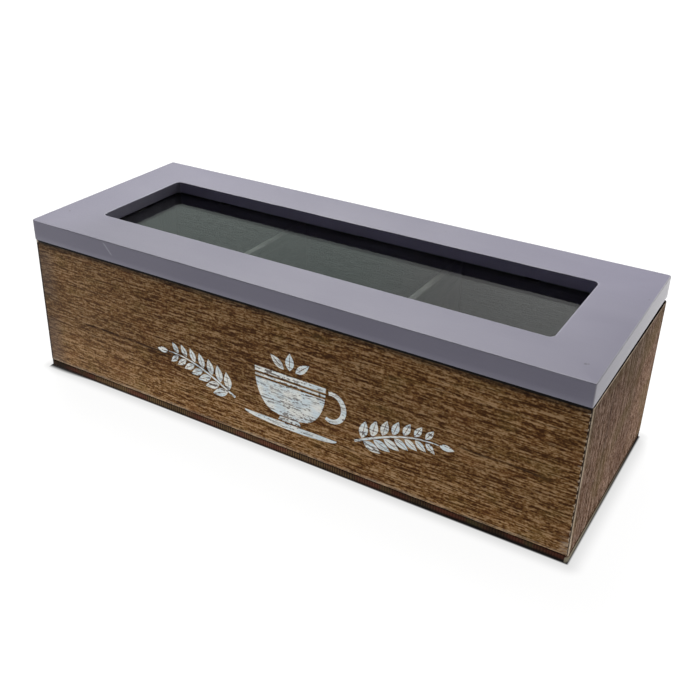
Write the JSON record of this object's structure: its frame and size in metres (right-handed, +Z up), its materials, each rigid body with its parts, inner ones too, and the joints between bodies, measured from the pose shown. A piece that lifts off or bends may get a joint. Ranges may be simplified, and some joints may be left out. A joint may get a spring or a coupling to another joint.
{
  "type": "tea bag organizer box",
  "caption": "Long low wooden box with fixed dividers for tea bags, and a hinged one-piece lid frame holding a flat glass pane.",
  "frame": {"origin": "centre of the underside of the bottom panel, which is the face that the box stands on", "axes": "+X to the right end along the length, +Y to the hinged back, +Z up"},
  "size_m": [0.24, 0.0939, 0.0715],
  "materials": {
    "stained_wood": "brown stain, rubbed through at the edges, satin",
    "stained_bottom": "dark brown stain",
    "stained_divider": "dark brown stain, matt",
    "painted_lid": "grey-lavender satin paint on fibreboard",
    "window_glass": "clear float glass",
    "hinge_brass": "brass plated, slightly dull",
    "bright_steel": "zinc plated"
  },
  "bodies": {
    "box": {"bottom_panel": "stained_bottom", "front_panel": "stained_wood", "back_panel": "stained_wood", "left_end_panel": "stained_wood", "right_end_panel": "stained_wood", "left_divider": "stained_divider", "right_divider": "stained_divider", "bottom_brads": "bright_steel", "left_hinge_body_leaf": "hinge_brass", "right_hinge_body_leaf": "hinge_brass", "left_hinge_pin": "hinge_brass", "right_hinge_pin": "hinge_brass", "hinge_body_screws": "hinge_brass"},
    "lid": {"lid_frame": "painted_lid", "glass_pane": "window_glass", "glazing_points": "bright_steel", "left_hinge_lid_leaf": "hinge_brass", "right_hinge_lid_leaf": "hinge_brass", "hinge_lid_screws": "hinge_brass"}
  },
  "joints": [
    {"name": "lid_hinge", "type": "hinge", "parent": "box", "child": "lid", "pos_m": [0, 0.047, 0.06222], "axis": [-1, 0, 0], "range_deg": [0, 200]}
  ]
}
